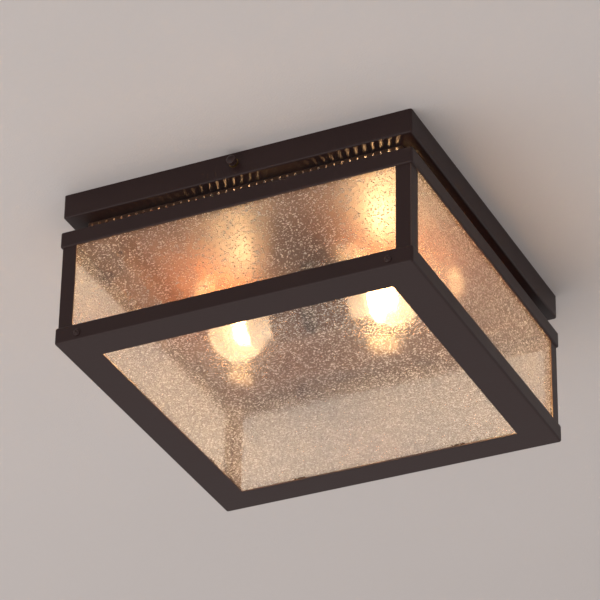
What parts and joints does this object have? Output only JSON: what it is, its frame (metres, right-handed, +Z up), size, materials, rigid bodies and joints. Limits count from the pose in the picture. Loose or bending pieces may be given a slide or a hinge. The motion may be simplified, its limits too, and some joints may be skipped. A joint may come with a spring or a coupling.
{
  "type": "porch ceiling lantern",
  "caption": "Square flush ceiling lantern of folded bronze sheet: canopy, perforated vent neck, seeded-glass sides, hinged glazed bottom door and bulbs lying back to back.",
  "frame": {"origin": "centre of the crossbar's two ceiling-screw slots, on its top face, in the ceiling's plane", "axes": "+Z up into the ceiling; front is -Y, where the door's closing screws are, and the door's hinges are at +Y; the two lamps lie along X"},
  "size_m": [0.381, 0.3992, 0.1735],
  "materials": {
    "bronze": "satin dark oil-rubbed bronze powder coat",
    "seeded_glass": "clear seeded glass full of small bubbles",
    "frosted_glass": "frosted white bulb glass",
    "zinc_steel": "zinc-plated steel",
    "green_screw": "green-dyed zinc plate",
    "brass": "plain brass",
    "porcelain": "glazed white porcelain",
    "black_nylon": "moulded black nylon"
  },
  "bodies": {
    "lantern": {"crossbar": "zinc_steel", "ground_screw": "green_screw", "canopy": "bronze", "wire_bushing": "black_nylon", "vent_neck": "bronze", "neck_rivets": "bronze", "top_frame": "bronze", "corner_post_front_left": "bronze", "corner_post_front_right": "bronze", "corner_post_back_right": "bronze", "corner_post_back_left": "bronze", "bottom_rail": "bronze", "pane_front": "seeded_glass", "pane_right": "seeded_glass", "pane_back": "seeded_glass", "pane_left": "seeded_glass", "pane_clips": "bronze", "lamp_bracket": "bronze", "bracket_screws": "zinc_steel", "bracket_nuts": "zinc_steel", "lampholder_left": "porcelain", "lampholder_right": "porcelain", "lampholder_screws": "zinc_steel", "screw_shell_left": "brass", "screw_shell_right": "brass", "centre_contact_left": "brass", "centre_contact_right": "brass", "hinge_leaf_frame_left": "bronze", "hinge_leaf_frame_right": "bronze", "hinge_rivets_frame": "bronze"},
    "door": {"door_frame": "bronze", "door_glass": "seeded_glass", "door_glass_clips": "bronze", "hinge_leaf_door_left": "bronze", "hinge_leaf_door_right": "bronze", "hinge_rivets_door": "bronze", "hinge_pin_left": "zinc_steel", "hinge_pin_right": "zinc_steel"},
    "door_screw_left": {"door_screw_left": "bronze"},
    "door_screw_right": {"door_screw_right": "bronze"},
    "door_clamp_left": {"door_clamp_left": "zinc_steel"},
    "door_clamp_right": {"door_clamp_right": "zinc_steel"},
    "thumb_washer_front": {"thumb_washer_front": "brass"},
    "thumb_screw_front": {"thumb_screw_front": "bronze"},
    "thumb_washer_back": {"thumb_washer_back": "brass"},
    "thumb_screw_back": {"thumb_screw_back": "bronze"},
    "bulb_left_contact": {"bulb_left_contact": "black_nylon"},
    "bulb_left": {"bulb_left_cap": "zinc_steel", "bulb_left_glass": "frosted_glass"},
    "bulb_right_contact": {"bulb_right_contact": "black_nylon"},
    "bulb_right": {"bulb_right_cap": "zinc_steel", "bulb_right_glass": "frosted_glass"}
  },
  "joints": [
    {"name": "door_swing", "type": "hinge", "parent": "lantern", "child": "door", "pos_m": [0, 0.1927, -0.153], "axis": [1, 0, 0], "range_deg": [0, 95]},
    {"name": "thumb_screw_front_travel", "type": "slide", "parent": "lantern", "child": "thumb_washer_front", "axis": [0, -1, 0], "range_m": [0, 0.008]},
    {"name": "thumb_screw_front_turn", "type": "hinge", "parent": "thumb_washer_front", "child": "thumb_screw_front", "pos_m": [0, -0.1904, -0.012], "axis": [0, -1, 0], "range_deg": [0, 3600]},
    {"name": "thumb_screw_back_travel", "type": "slide", "parent": "lantern", "child": "thumb_washer_back", "axis": [0, 1, 0], "range_m": [0, 0.008]},
    {"name": "thumb_screw_back_turn", "type": "hinge", "parent": "thumb_washer_back", "child": "thumb_screw_back", "pos_m": [0, 0.1904, -0.012], "axis": [0, 1, 0], "range_deg": [0, 3600]},
    {"name": "door_screw_left_turn", "type": "hinge", "parent": "door", "child": "door_screw_left", "pos_m": [-0.1655, -0.1905, -0.1655], "axis": [0, -1, 0], "range_deg": [0, 1080]},
    {"name": "door_clamp_left_travel", "type": "slide", "parent": "door", "child": "door_clamp_left", "axis": [0, 1, 0], "range_m": [0, 0.0021]},
    {"name": "door_screw_right_turn", "type": "hinge", "parent": "door", "child": "door_screw_right", "pos_m": [0.1655, -0.1905, -0.1655], "axis": [0, -1, 0], "range_deg": [0, 1080]},
    {"name": "door_clamp_right_travel", "type": "slide", "parent": "door", "child": "door_clamp_right", "axis": [0, 1, 0], "range_m": [0, 0.0021]},
    {"name": "bulb_left_travel", "type": "slide", "parent": "lantern", "child": "bulb_left_contact", "axis": [-1, 0, 0], "range_m": [0, 0.0127]},
    {"name": "bulb_left_turn", "type": "hinge", "parent": "bulb_left_contact", "child": "bulb_left", "pos_m": [-0.04, 0, -0.0785], "axis": [-1, 0, 0], "range_deg": [0, 1260]},
    {"name": "bulb_right_travel", "type": "slide", "parent": "lantern", "child": "bulb_right_contact", "axis": [1, 0, 0], "range_m": [0, 0.0127]},
    {"name": "bulb_right_turn", "type": "hinge", "parent": "bulb_right_contact", "child": "bulb_right", "pos_m": [0.04, 0, -0.0785], "axis": [1, 0, 0], "range_deg": [0, 1260]}
  ],
  "couplings": [
    {"joint": "thumb_screw_front_turn", "follows": "thumb_screw_front_travel", "rad_per_m": 7854},
    {"joint": "thumb_screw_back_turn", "follows": "thumb_screw_back_travel", "rad_per_m": 7854},
    {"joint": "door_screw_left_turn", "follows": "door_clamp_left_travel", "rad_per_m": 8976},
    {"joint": "door_screw_right_turn", "follows": "door_clamp_right_travel", "rad_per_m": 8976},
    {"joint": "bulb_left_turn", "follows": "bulb_left_travel", "rad_per_m": 1731.3},
    {"joint": "bulb_right_turn", "follows": "bulb_right_travel", "rad_per_m": 1731.3}
  ]
}
